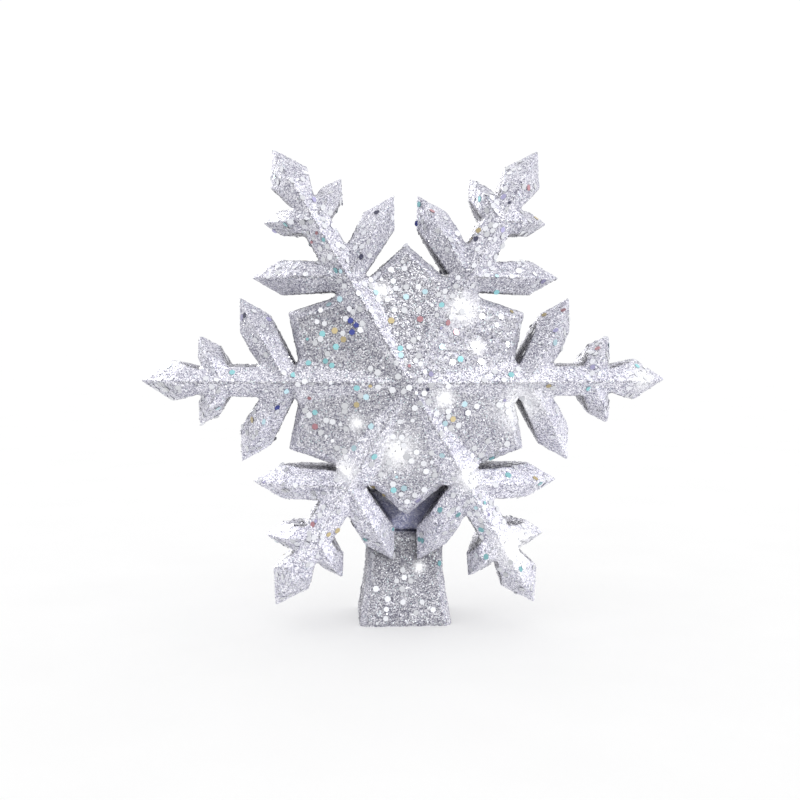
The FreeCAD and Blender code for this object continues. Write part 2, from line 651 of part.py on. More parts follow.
def board_components():
    """Chip, capacitor, small parts and two lead sockets on the board's front."""
    y = BOARD_Y[0]
    chip = box(-2.6, 2.6, y - 1.5, y, -41.6, -37.8)
    legs = [box(sign * 2.6 - 0.6, sign * 2.6 + 0.6, y - 0.5, y, z - 0.2, z + 0.2)
            for sign in (-1, 1) for z in (-41.1, -40.1, -39.1, -38.3)]
    capacitor = Part.makeCylinder(1.9, 4.6, V(2.6, y - 1.9, -36.8), V(0, 0, 1))
    capacitor = capacitor.fuse(box(1.6, 3.6, y - 1.0, y, -36.6, -32.6))
    resistors = [box(x - 0.8, x + 0.8, y - 0.6, y, -44.2, -43.2) for x in (-5.0, -2.4, 2.4, 5.0)]
    sockets = [box(x - 1.7, x + 1.7, y - 2.6, y, -35.6, -32.4) for x in (-6.2, -2.2)]
    return group([chip.fuse(legs), capacitor] + resistors + sockets)


def dc_inlet():
    """Barrel inlet that stands on the board and looks out of the back."""
    body = box(-4.3, 4.3, BOARD_Y[1], DRUM_BACK - DRUM_WALL, INLET_Z - 4.3, INLET_Z + 4.3)
    neck = disc(4.0, DRUM_BACK - DRUM_WALL - 0.5, DRUM_BACK + 0.6, 0.0, INLET_Z)
    lip = tube(5.0, INLET_BORE_R, DRUM_BACK, DRUM_BACK + 0.8, 0.0, INLET_Z)
    shell = body.fuse([neck, lip]).cut(disc(INLET_BORE_R, DRUM_BACK - 10.5, DRUM_BACK + 2, 0.0, INLET_Z))
    pin = disc(1.0, DRUM_BACK - 11.0, DRUM_BACK - 0.6, 0.0, INLET_Z)
    return shell.fuse(pin).removeSplitter()


def lead(points, radius):
    """An insulated wire laid in straight runs with rounded corners."""
    pts = [V(*p) for p in points]
    wire = None
    for a, b in zip(pts[:-1], pts[1:]):
        run = Part.makeCylinder(radius, (b - a).Length, a, b - a)
        wire = run if wire is None else wire.fuse([run, Part.makeSphere(radius, a)])
    return wire


def lead_wires():
    """Motor leads and lamp leads from the board's two lead sockets."""
    wire_r = 0.55
    socket_y = BOARD_Y[0] - 2.6
    tab_z = CENTRE_DISTANCE - 3.6
    wires = []
    for i, sign in enumerate((-1, 1)):
        off = 0.7 * sign
        start_z = -33.2 - 1.6 * i
        x = -6.2 + off
        wires.append(lead([(x, socket_y, start_z), (x, socket_y - 3.0, start_z), (-14.0 + off, -5.0, -22.0),
                           (-22.5 + 2 * off, -6.0, -6.0), (-21.5 + 2 * off, -9.0, 8.0),
                           (sign * 2.6, -14.2, tab_z - 2.0), (sign * 2.6, -14.2, tab_z)], wire_r))
        x = -2.2 + off
        notch_x = 1.4 * sign
        wires.append(lead([(x, socket_y, start_z), (x, socket_y - 5.5, start_z), (notch_x, -3.2, -27.0),
                           (notch_x, -2.6, -11.2), (notch_x, LED_BOARD_Y[1], -11.2)], wire_r))
    return group(wires)


# ======================================================================= fasteners
def shell_screws():
    screws = []
    for angle in SHELL_SCREW_ANGLES:
        x, z = polar(SHELL_SCREW_R, angle)
        screws.append(screw(x, z, SHELL_HEAD_SEAT, -8.6, 2.5, 1.8, 1.3))
    return group(screws)


def bezel_screws():
    screws = []
    for angle in BEZEL_SCREW_ANGLES:
        x, z = polar(BEZEL_SCREW_R, angle)
        screws.append(screw(x, z, DRUM_BACK + 1.2, 18.8, 1.7, 1.0, 0.9))
    return group(screws)


def chassis_screws():
    screws = []
    for angle in LUG_ANGLES:
        x, z = polar(LUG_R, angle)
        screws.append(screw(x, z, PLATE_Y[0], PLATE_Y[1] + 7.0, 2.2, 1.5, 1.1))
    return group(screws)


def motor_screws():
    seat = GEARBOX_Y[1] - 1.2
    return group([screw(sign * EAR_X, CENTRE_DISTANCE, seat, PLATE_Y[1], 1.7, 1.1, 0.8) for sign in (-1, 1)])


def sink_screws():
    return group([screw(sign * SINK_SCREW_X, 0.0, SINK_Y[0], PLATE_Y[1], 1.8, 1.2, 1.0) for sign in (-1, 1)])


def board_screws():
    return group([screw(sign * BOARD_SCREW_X, INLET_Z, BOARD_Y[0], BOARD_Y[1] + 5.0, 1.4, 1.0, 0.8)
                  for sign in (-1, 1)])


def socket_screws():
    return group([screw(sign * SOCKET_SCREW_X, SOCKET_SCREW_Z, DRUM_BACK, 15.4, 2.3, 1.6, 1.05)
                  for sign in (-1, 1)])


def main():
    os.makedirs(OUT_DIR, exist_ok=True)
    outside = flake_outside()
    inside = flake_inside()
    save("front_shell", front_shell(outside, inside))
    save("rear_shell", rear_shell(outside, inside))
    builders = (tree_socket, ring_gear, drive_pinion, motor_shaft, projector_dome, dome_bezel,
                projector_chassis, condenser_lens, heat_sink, led_board, leds, gear_motor, control_board,
                board_components, dc_inlet, lead_wires, shell_screws, bezel_screws, chassis_screws,
                motor_screws, sink_screws, board_screws, socket_screws)
    for build in builders:
        save(build.__name__, build())


main()
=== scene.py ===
import json
import math

import bmesh
import bpy
import numpy as np
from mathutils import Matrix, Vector
from mathutils.bvhtree import BVHTree

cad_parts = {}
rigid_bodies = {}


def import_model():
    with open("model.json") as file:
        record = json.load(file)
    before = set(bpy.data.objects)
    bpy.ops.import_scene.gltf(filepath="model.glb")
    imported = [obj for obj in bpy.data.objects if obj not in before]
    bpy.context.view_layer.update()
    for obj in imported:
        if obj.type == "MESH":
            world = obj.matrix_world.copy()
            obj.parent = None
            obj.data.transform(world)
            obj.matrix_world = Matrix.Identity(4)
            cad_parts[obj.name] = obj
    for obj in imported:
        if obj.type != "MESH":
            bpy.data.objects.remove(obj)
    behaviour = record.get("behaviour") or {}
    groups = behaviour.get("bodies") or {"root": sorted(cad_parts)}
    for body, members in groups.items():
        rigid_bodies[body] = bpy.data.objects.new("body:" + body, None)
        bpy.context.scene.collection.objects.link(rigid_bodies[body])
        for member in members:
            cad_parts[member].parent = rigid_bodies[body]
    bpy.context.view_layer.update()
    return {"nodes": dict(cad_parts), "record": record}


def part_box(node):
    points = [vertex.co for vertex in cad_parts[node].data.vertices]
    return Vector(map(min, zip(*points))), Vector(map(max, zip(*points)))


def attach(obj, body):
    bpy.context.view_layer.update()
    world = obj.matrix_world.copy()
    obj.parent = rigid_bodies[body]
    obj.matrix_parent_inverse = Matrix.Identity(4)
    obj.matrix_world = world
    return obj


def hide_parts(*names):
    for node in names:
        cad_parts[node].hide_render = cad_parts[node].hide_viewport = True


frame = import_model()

# Glittered snowflake tree topper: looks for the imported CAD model, in metres, in its own frame.

MM = 0.001
SEED = 20261

# ---- where things are
SLEEVE_HEIGHT = 34.4 * MM                      # of the socket, from its mouth up to its shoulder
SOCKET_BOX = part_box("tree_socket")
FRONT_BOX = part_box("front_shell")
BEZEL_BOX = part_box("dome_bezel")
PLANE_Y = FRONT_BOX[1].y                       # where the two shells meet
CENTRE = Vector((0.0, PLANE_Y, (BEZEL_BOX[0].z + BEZEL_BOX[1].z) / 2.0))
FLOOR_Z = SOCKET_BOX[0].z
SOCKET_TOP_Z = FLOOR_Z + SLEEVE_HEIGHT

# ---- camera
CAMERA_DISTANCE = 0.45
CAMERA_ELEVATION = 4.25                        # degrees
CAMERA_TO_LEFT = 3.0                           # degrees
FRAME_WIDTH = 290.0 * MM                       # width seen at the snowflake's plane
AIM_BELOW_CENTRE = 7.4 * MM
AIM_LEFT = 2.0 * MM


# ======================================================================= node helpers
class Graph:
    """A material's node tree with short calls for the nodes used here."""

    def __init__(self, name):
        self.material = bpy.data.materials.new(name)
        self.material.use_nodes = True
        self.tree = self.material.node_tree
        self.tree.nodes.clear()
        self.output = self.tree.nodes.new("ShaderNodeOutputMaterial")
        coords = self.tree.nodes.new("ShaderNodeTexCoord")
        self.place = coords.outputs["Object"]
        self.facing = coords.outputs["Normal"]

    def put(self, socket, value):
        """Link a socket to an input, or set the input to a number, vector or colour."""
        if isinstance(value, bpy.types.NodeSocket):
            self.tree.links.new(value, socket)
        elif isinstance(value, (tuple, list)) and len(value) == 3 and socket.type == "RGBA":
            socket.default_value = (*value, 1.0)
        else:
            socket.default_value = value

    def math(self, operation, a, b=0.0, c=0.0, clamp=False):
        node = self.tree.nodes.new("ShaderNodeMath")
        node.operation = operation
        node.use_clamp = clamp
        for socket, value in zip(node.inputs, (a, b, c)):
            self.put(socket, value)
        return node.outputs[0]

    def vector(self, operation, a, b=(0.0, 0.0, 0.0), scale=1.0):
        node = self.tree.nodes.new("ShaderNodeVectorMath")
        node.operation = operation
        self.put(node.inputs[0], a)
        if operation == "SCALE":
            self.put(node.inputs["Scale"], scale)
        elif operation != "NORMALIZE":
            self.put(node.inputs[1], b)
        return node.outputs[0]

    def split(self, vector):
        node = self.tree.nodes.new("ShaderNodeSeparateXYZ")
        self.put(node.inputs[0], vector)
        return node.outputs

    def cells(self, size):
        """Irregular cells of that size in metres: a random colour for each cell."""
        node = self.tree.nodes.new("ShaderNodeTexVoronoi")
        self.put(node.inputs["Vector"], self.place)
        node.inputs["Scale"].default_value = 1.0 / size
        return node.outputs["Color"]

    def noise(self, size, detail=2.0, place=None):
        node = self.tree.nodes.new("ShaderNodeTexNoise")
        self.put(node.inputs["Vector"], self.place if place is None else place)
        node.inputs["Scale"].default_value = 1.0 / size
        node.inputs["Detail"].default_value = detail
        return node.outputs["Fac"]

    def ramp(self, value, stops):
        node = self.tree.nodes.new("ShaderNodeValToRGB")
        self.put(node.inputs[0], value)
        points = node.color_ramp.elements
        while len(points) < len(stops):
            points.new(0.5)
        for point, (at, colour) in zip(points, stops):
            point.position = at
            point.color = (*colour, 1.0)
        return node.outputs["Color"]

    def mix(self, fac, a, b, blend="MIX"):
        node = self.tree.nodes.new("ShaderNodeMix")
        node.data_type = "RGBA"
        node.blend_type = blend
        self.put(node.inputs[0], fac)
        self.put(node.inputs[6], a)
        self.put(node.inputs[7], b)
        return node.outputs[2]

    def between(self, value, low, high, out_low=0.0, out_high=1.0):
        """The value carried from low..high to out_low..out_high, and held at the ends."""
        node = self.tree.nodes.new("ShaderNodeMapRange")
        node.clamp = True
        for socket, item in zip(node.inputs, (value, low, high, out_low, out_high)):
            self.put(socket, item)
        return node.outputs[0]

    def distance(self, a, b):
        """Length of the flat vector (a, b)."""
        return self.math("SQRT", self.math("ADD", self.math("MULTIPLY", a, a), self.math("MULTIPLY", b, b)))

    def bump(self, height, strength, distance):
        node = self.tree.nodes.new("ShaderNodeBump")
        self.put(node.inputs["Height"], height)
        node.inputs["Strength"].default_value = strength
        node.inputs["Distance"].default_value = distance
        return node.outputs[0]

    def surface(self, **values):
        """The principled shader with the named inputs set, wired to the output."""
        node = self.tree.nodes.new("ShaderNodeBsdfPrincipled")
        for name, value in values.items():
            self.put(node.inputs[name.replace("_", " ")], value)
        self.tree.links.new(node.outputs[0], self.output.inputs[0])
        return self.material


# ======================================================================= materials
NOISE_SPAN = (0.3, 0.7)                        # the values that a noise mostly keeps to
GRAIN = 0.34 * MM                              # size of the fine glitter
COARSE_GRAIN = 2.1 * GRAIN
PATCH = 9.0 * MM                               # breadth of the lighter and darker patches
COARSE_SHARE = 0.13                            # of the coarse grain in the tone
PATCH_SHARE = 0.35
GLITTER_STOPS = [                              # (tone, colour)
    (0.0, (0.100, 0.097, 0.145)), (0.25, (0.250, 0.246, 0.310)), (0.50, (0.418, 0.413, 0.470)),
    (0.75, (0.575, 0.569, 0.611)), (1.0, (0.85, 0.844, 0.88))]
TINTED_ABOVE = 0.965                           # the few grains over this draw are tinted
TINTED_SHARE = 0.55
TINT_BASE = (0.75, 1.0, 1.0)
GRAIN_TILT = 0.45                              # how far the grains lean from the surface
GRAIN_ROUGHNESS = (0.35, 0.60)
GRAIN_METALLIC = 0.4
BARE_AND_SHADED_WALL = (0.034, 0.030, 0.058)              # side walls: bare plastic that little glitter reaches, with painted shade
NECK_PAINTED_SHADE = (0.190, 0.197, 0.320)             # painted shade in the recess over the socket
NECK_HALF = 11.5 * MM                          # half the recess's width, its height over the socket,
NECK_HEIGHT = 10.0 * MM
NECK_DEPTH = 5.5 * MM                          # and its depth behind the shells' joint plane
NECK_GRAINS = 0.5                              # share of the grains that still show there
FRONT_WALL_GRAINS = 0.62                       # how many grains show on side walls, front and rear; the rest is painted dark
REAR_WALL_GRAINS = 0.95
OUTER_LIGHTNESS = 1.16                             # lighter on the leaves, against 1 on the hub
LOWER_HALF_PAINTED_LIGHT = 1.35                               # painted light: lighter on the lower half, against 1 on the upper half
SOCKET_COVER = 1.05
SOCKET_TOP_PAINTED_SHADOW = 0.64                        # painted shadow of the snowflake on the socket's top
SHADED_DROP = (20.0 * MM, 4.0 * MM)            # below the socket's top: where that shade ends and is full
TIP_OVERLAP = 9.5 * MM                         # how far the leaf tips hang down in front of the socket
SOCKET_REACH = 18.0 * MM                       # to the side: past the socket, short of the lower arms
HUB_TO_LEAF = (44.0 * MM, 56.0 * MM)           # from the centre: the hub's cover ends, the leaves' begins
HIGH_TO_LOW = (12.0 * MM, -26.0 * MM)          # height over the centre: from the upper cover to the lower
FLAT_FACE_PAINTED_SHADE = 0.62                          # painted shade: faces square to the front are darker, and those of the top lobe darkest
TOP_LOBE_PAINTED_SHADE = 0.55                           # and those of the top lobe least
TOP_LOBE_RISE = (14.0 * MM, 30.0 * MM)         # height over the centre where the top lobe's painted shade sets in
FLAT_FACING = (0.88, 0.94)                     # how far a face looks to the front: sloping, then flat
WALL_FACING = (0.10, 0.50)                     # and for walls: painted dark, then glittered
FOIL_DARKEST = 0.3                             # of a foil's own colour
TRACK_PITCH = 2.4 * MM                         # of a circuit board's copper tracks
LAMP_CHIP = 1.15 * MM                          # height of a lamp's white chip, under its cap
# Painted highlights: soft white spots painted into the glitter's colour
GLINT_WHITE = (0.98, 0.98, 0.99)
GLINT_STRENGTH = 0.9
GLINT_CORE = 0.12                              # the fully white part of a patch's radius
PAINTED_GLINT_SPOTS = [                              # painted highlights, white spots on the front: (x, z, radius), mm
    (-3.7, -24.1, 12.0), (40.0, -9.5, 14.0), (39.0, -59.2, 14.0), (18.7, 25.9, 9.5), (-22.1, -30.8, 7.5),
    (20.9, -34.0, 8.5), (84.7, 0.6, 8.0), (-18.0, -14.0, 5.0), (5.0, -69.0, 4.0), (12.3, -5.3, 6.5),
    (-9.0, 31.8, 5.0), (24.0, 12.4, 4.5)]


def on_socket(g):
    """1 on the socket and 0 elsewhere, also 0 on the leaf tips that hang in front of its top."""
    x, y, z = g.split(g.place)
    in_x = g.between(g.math("ABSOLUTE", x), SOCKET_REACH, SOCKET_REACH - 1.0 * MM)
    in_z = g.math("LESS_THAN", z, SOCKET_TOP_Z + 0.2 * MM)
    behind_tips = g.math("GREATER_THAN", y, PLANE_Y + 0.3 * MM)
    under_tips = g.math("LESS_THAN", z, SOCKET_TOP_Z - TIP_OVERLAP)
    return g.math("MULTIPLY", g.math("MULTIPLY", in_x, in_z), g.math("MAXIMUM", behind_tips, under_tips))


def painted_glints(g):
    """How strongly the painted highlights whiten a place on the front, 0 to 1, on shell and socket."""
    x, y, z = g.split(g.place)
    total = None
    for px, pz, radius in PAINTED_GLINT_SPOTS:
        dx = g.math("SUBTRACT", x, px * MM + CENTRE.x)
        dz = g.math("SUBTRACT", z, pz * MM + CENTRE.z)
        distance = g.distance(dx, dz)
        spot = g.between(distance, radius * MM, radius * GLINT_CORE * MM)
        spot = g.math("MULTIPLY", spot, spot)
        total = spot if total is None else g.math("MAXIMUM", total, spot)
    on_shell = g.between(y, PLANE_Y, PLANE_Y - 1.0 * MM)
    socket_front = g.math("MULTIPLY", g.math("LESS_THAN", y, 0.0), on_socket(g))
    return g.math("MULTIPLY", total, g.math("MAXIMUM", on_shell, socket_front))


def thickness(g):
    """How light the glitter is: lighter from the hub out to the leaves, painted lighter on the lower half,
    and the snowflake's painted shadow at the top of the socket, which has its own.
    """
    x, _, z = g.split(g.place)
    dz = g.math("SUBTRACT", z, CENTRE.z)
    outer = g.between(g.distance(x, dz), *HUB_TO_LEAF, 1.0, OUTER_LIGHTNESS)
    low = g.between(dz, *HIGH_TO_LOW, 1.0, LOWER_HALF_PAINTED_LIGHT)
    cover = g.math("MULTIPLY", outer, low)
    # painted shadow of the snowflake on the socket's top
    shade_end, full_shade = (SOCKET_TOP_Z - drop for drop in SHADED_DROP)
    socket = g.between(z, shade_end, full_shade, SOCKET_COVER, SOCKET_TOP_PAINTED_SHADOW)
    return g.between(on_socket(g), 0.0, 1.0, cover, socket)


def painted_neck_shade(g):
    """1 in the recess between the bottom lobe and the socket, where its shade is painted, 0 elsewhere, with
    soft edges.
    """
    x, y, z = g.split(g.place)
    in_x = g.between(g.math("ABSOLUTE", x), NECK_HALF + 1.5 * MM, NECK_HALF)
    over_socket = g.between(z, SOCKET_TOP_Z - 0.2 * MM, SOCKET_TOP_Z + 0.3 * MM)
    under_lobe = g.between(z, SOCKET_TOP_Z + NECK_HEIGHT + 6.0 * MM, SOCKET_TOP_Z + NECK_HEIGHT)
    in_z = g.math("MULTIPLY", over_socket, under_lobe)
    behind = g.between(y, PLANE_Y - 1.0 * MM, PLANE_Y + 1.0 * MM)
    ahead = g.between(y, PLANE_Y + NECK_DEPTH + 2.0 * MM, PLANE_Y + NECK_DEPTH)
    in_y = g.math("MULTIPLY", behind, ahead)
    return g.math("MULTIPLY", g.math("MULTIPLY", in_x, in_y), in_z)


def glitter(name, wall_tone):
    """Silver glitter: grains that each tilt and tint their own way, thin and painted dark on walls that face
    sideways, with painted shade, painted light and painted highlights.
    """
    g = Graph(name)
    grain = g.cells(GRAIN)
    coarse = g.cells(COARSE_GRAIN)
    r, tilt_a, tilt_b = g.split(grain)
    patch = g.math("SUBTRACT", g.noise(PATCH, 3.0), 0.5)
    fine = g.math("MULTIPLY", r, 1.0 - COARSE_SHARE)
    tone = g.math("ADD", fine, g.math("MULTIPLY", g.split(coarse)[0], COARSE_SHARE))
    tone = g.math("ADD", tone, g.math("MULTIPLY", patch, PATCH_SHARE), clamp=True)
    colour = g.ramp(tone, GLITTER_STOPS)
    square_on = g.math("ABSOLUTE", g.split(g.facing)[1])
    rise = g.math("SUBTRACT", g.split(g.place)[2], CENTRE.z)
    # painted shade: darker on faces that look to the front, darkest on the top lobe
    flat_painted_shade = g.between(rise, *TOP_LOBE_RISE, FLAT_FACE_PAINTED_SHADE, TOP_LOBE_PAINTED_SHADE)
    flat = g.between(square_on, *FLAT_FACING)
    # lighter on the leaves, painted lighter on the lower half, painted shadow on the socket's top
    tone_with_painted_light = g.math("MULTIPLY", thickness(g), g.between(flat, 0.0, 1.0, 1.0, flat_painted_shade))
    colour = g.vector("SCALE", colour, scale=tone_with_painted_light)
    rare = g.math("GREATER_THAN", tilt_a, TINTED_ABOVE)
    colour = g.mix(g.math("MULTIPLY", rare, TINTED_SHARE), colour, g.mix(1.0, grain, TINT_BASE, "SCREEN"))
    # painted highlights: white spots mixed into the colour
    colour = g.mix(g.math("MULTIPLY", painted_glints(g), GLINT_STRENGTH), colour, GLINT_WHITE)

    # side walls that face away from the front: little glitter, and painted shade
    covered = g.between(square_on, *WALL_FACING)
    keeps = g.math("GREATER_THAN", g.math("ADD", covered, g.math("MULTIPLY", r, wall_tone)), 0.5)
    colour = g.mix(keeps, BARE_AND_SHADED_WALL, colour)
    # painted shade in the recess between the bottom lobe and the socket
    colour = g.mix(painted_neck_shade(g), colour, g.mix(g.math("MULTIPLY", r, NECK_GRAINS), NECK_PAINTED_SHADE, colour))

    lean = g.vector("SUBTRACT", grain, (0.5, 0.5, 0.5))
    geometry = g.tree.nodes.new("ShaderNodeNewGeometry")
    tilted = g.vector("ADD", geometry.outputs["Normal"], g.vector("SCALE", lean, scale=GRAIN_TILT))
    rough = g.between(tilt_b, 0.0, 1.0, *GRAIN_ROUGHNESS)
    return g.surface(Base_Color=colour, Metallic=g.math("MULTIPLY", keeps, GRAIN_METALLIC), Roughness=rough,
                     Normal=g.vector("NORMALIZE", tilted))


def foil(name, colour, metallic, shades):
    """Glossy foil; each flake has its own tone."""
    g = Graph(name)
    tone = g.tree.nodes.new("ShaderNodeAttribute")
    tone.attribute_name = "tone"
    shade = g.between(tone.outputs["Fac"], 0.0, 1.0, *shades)
    sheen = g.between(g.noise(0.6 * MM), *NOISE_SPAN, 0.92, 1.0)
    dark = tuple(FOIL_DARKEST * c for c in colour)
    base = g.mix(g.math("MULTIPLY", shade, sheen), dark, colour)
    gloss = g.between(g.noise(0.9 * MM), *NOISE_SPAN, 0.12, 0.26)
    return g.surface(Base_Color=base, Metallic=metallic, Roughness=gloss)


def plastic(name, colour, rough, grain_size, grain_depth, specks=0.06):
    """Moulded plastic with a fine spark-eroded skin and faint uneven tone."""
    g = Graph(name)
    cloud = g.between(g.noise(6.0 * MM, 4.0), *NOISE_SPAN, 1.0 - specks, 1.0 + specks)
    shade = g.vector("SCALE", colour, scale=cloud)
    height = g.noise(grain_size, 3.0)
    return g.surface(Base_Color=shade, Roughness=g.between(height, *NOISE_SPAN, rough - 0.06, rough + 0.06),
                     Normal=g.bump(height, 0.5, grain_depth))


def metal(name, colour, rough, streak=(1.0, 1.0, 1.0)):
    """Plated or drawn metal with fine streaks along one direction."""
    g = Graph(name)
    streaks = g.noise(0.5 * MM, 4.0, g.vector("MULTIPLY", g.place, streak))
    shade = g.vector("SCALE", colour, scale=g.between(streaks, *NOISE_SPAN, 0.90, 1.06))
    return g.surface(Base_Color=shade, Metallic=1.0,
                     Roughness=g.between(streaks, *NOISE_SPAN, rough - 0.08, rough + 0.10),
                     Normal=g.bump(streaks, 0.25, 0.01 * MM))


def clear_plastic(name):
    """Clear moulding with faint flow lines."""
    g = Graph(name)
    flow = g.noise(5.0 * MM, 2.0)
    return g.surface(Base_Color=g.mix(flow, (0.90, 0.95, 0.97), (0.97, 0.99, 1.0)), Roughness=0.04, IOR=1.49,
                     Transmission_Weight=0.92, Normal=g.bump(flow, 0.15, 0.03 * MM))


def board_finish(name, mask, copper):
    """Solder mask over copper tracks."""
    g = Graph(name)
    x, _, z = g.split(g.place)
    phase = g.math("MULTIPLY", g.math("ADD", x, z), math.pi / TRACK_PITCH)
    stripes = g.math("GREATER_THAN", g.math("ABSOLUTE", g.math("SINE", phase)), 0.80)
    track = g.math("MULTIPLY", stripes, g.math("GREATER_THAN", g.noise(4 * MM), 0.5))
    colour = g.mix(g.math("MULTIPLY", track, 0.6), mask, copper)
    return g.surface(Base_Color=colour, Roughness=g.between(g.noise(1.5 * MM), *NOISE_SPAN, 0.25, 0.4),
                     Normal=g.bump(track, 0.4, 0.03 * MM))


def lamp_finish(name):
    """White lamp chip under a clear yellowish cap."""
    g = Graph(name)
    _, y, _ = g.split(g.place)
    cap = g.math("GREATER_THAN", y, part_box("leds")[0].y + LAMP_CHIP)
    colour = g.mix(cap, (0.85, 0.85, 0.82), (0.90, 0.80, 0.38))
    haze = g.between(g.noise(0.7 * MM), *NOISE_SPAN, 0.12, 0.3)
    return g.surface(Base_Color=colour, Roughness=haze, Coat_Weight=0.6)


def dress():
    """Every CAD node gets its slot's material; the two shells differ on their side walls."""
    finish = {
        "silver_trim": metal("silver_trim", (0.62, 0.62, 0.66), 0.34, (1.0, 3.0, 1.0)),
        "clear_plastic": clear_plastic("clear_plastic"),
        "black_plastic": plastic("black_plastic", (0.028, 0.028, 0.032), 0.46, 0.25 * MM, 0.03 * MM),
        "white_nylon": plastic("white_nylon", (0.78, 0.78, 0.73), 0.38, 0.5 * MM, 0.02 * MM, 0.03),
        "aluminium": metal("aluminium", (0.72, 0.73, 0.75), 0.32, (1.0, 1.0, 0.12)),
        "circuit_board": board_finish("circuit_board", (0.012, 0.13, 0.045), (0.03, 0.30, 0.08)),
        "lamp_board": board_finish("lamp_board", (0.82, 0.82, 0.78), (0.70, 0.70, 0.66)),
        "lamp": lamp_finish("lamp"),
        "component_black": plastic("component_black", (0.035, 0.035, 0.04), 0.5, 0.2 * MM, 0.02 * MM),
        "motor_metal": metal("motor_metal", (0.58, 0.58, 0.55), 0.30, (1.0, 0.15, 1.0)),
        "steel": metal("steel", (0.66, 0.66, 0.68), 0.26, (1.0, 1.0, 1.0)),
        "lead_insulation": plastic("lead_insulation", (0.50, 0.03, 0.03), 0.42, 0.6 * MM, 0.02 * MM),
    }
    finish["glitter_shell"] = glitter("glitter_front", FRONT_WALL_GRAINS)
    rear = glitter("glitter_rear", REAR_WALL_GRAINS)
    slots = {part["node"]: part["material_slot"] for part in frame["record"]["subparts"]}
    for node, obj in frame["nodes"].items():
        obj.data.materials.clear()
        obj.data.materials.append(rear if node == "rear_shell" else finish[slots[node]])
        for polygon in obj.data.polygons:
            polygon.use_smooth = False


# ======================================================================= glitter coat
FRONT = Vector((0, -1, 0))
SPRAYED = {                                    # node: (side it is sprayed from, None for all round; flakes)
    "front_shell": (FRONT, 640),
    "rear_shell": (-FRONT, 400),
    "tree_socket": (None, 80),
}
COAT_CELL = 0.72 * MM                          # size of the mesh that carries the glitter coat
COAT_WAVE = 2.2 * MM                           # breadth of the coat's lumps
COAT_DEPTH = 0.50 * MM
COAT_KEEPS = 0.58                              # share of the coat's faces that is needed for its shape
SMALLEST_ISLAND = 100                          # corners; smaller loose specks are left over from the remesh
COAT_REACH = 1.2 * MM                          # farthest that the coat may lie from the bare surface
CLEAR_OF_LUMPS = 0.6 * MM


def round_edges(piece, lumps):
    """Modifiers that soften a piece's edges, give it low lumps and thin out its faces."""
    cells = piece.modifiers.new("cells", "REMESH")
    cells.mode = "VOXEL"
    cells.voxel_size = COAT_CELL
    soft = piece.modifiers.new("soft", "SMOOTH")
    soft.factor = 0.5
    soft.iterations = 2
    lumpy = piece.modifiers.new("lumps", "DISPLACE")
    lumpy.texture = lumps
    lumpy.texture_coords = "LOCAL"
    lumpy.mid_level = 0.5
    lumpy.strength = COAT_DEPTH
    fewer = piece.modifiers.new("fewer", "DECIMATE")
    fewer.ratio = COAT_KEEPS


def drop_specks(mesh):
    """Delete the loose specks that the remesh leaves in tight inner corners."""
    work = bmesh.new()
    work.from_mesh(mesh)
    seen = set()
    specks = []
    for start in work.verts:
        if start in seen:
            continue
        seen.add(start)
        island = [start]
        for corner in island:                  # the island grows while it is walked
            for edge in corner.link_edges:
                other = edge.other_vert(corner)
                if other not in seen:
                    seen.add(other)
                    island.append(other)
        if len(island) < SMALLEST_ISLAND:
            specks += island
    bmesh.ops.delete(work, geom=specks, context="VERTS")
    work.to_mesh(mesh)
    work.free()


def coat():
    """The coated shells and socket, which stand for the bare ones, with soft, lumpy edges; their meshes."""
    lumps = bpy.data.textures.new("coat_lumps", "CLOUDS")
    lumps.noise_scale = COAT_WAVE
    lumps.noise_depth = 1
    coated = []
    for node in SPRAYED:
        bare = frame["nodes"][node]
        piece = bpy.data.objects.new(node + "_coated", bare.data.copy())
        bpy.context.scene.collection.objects.link(piece)
        round_edges(piece, lumps)
        bpy.context.view_layer.update()
        final = bpy.data.meshes.new_from_object(piece.evaluated_get(bpy.context.evaluated_depsgraph_get()))
        piece.modifiers.clear()
        drop_specks(final)
        piece.data = final
        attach(piece, "flake")
        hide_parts(node)
        coated.append(final)
    return coated


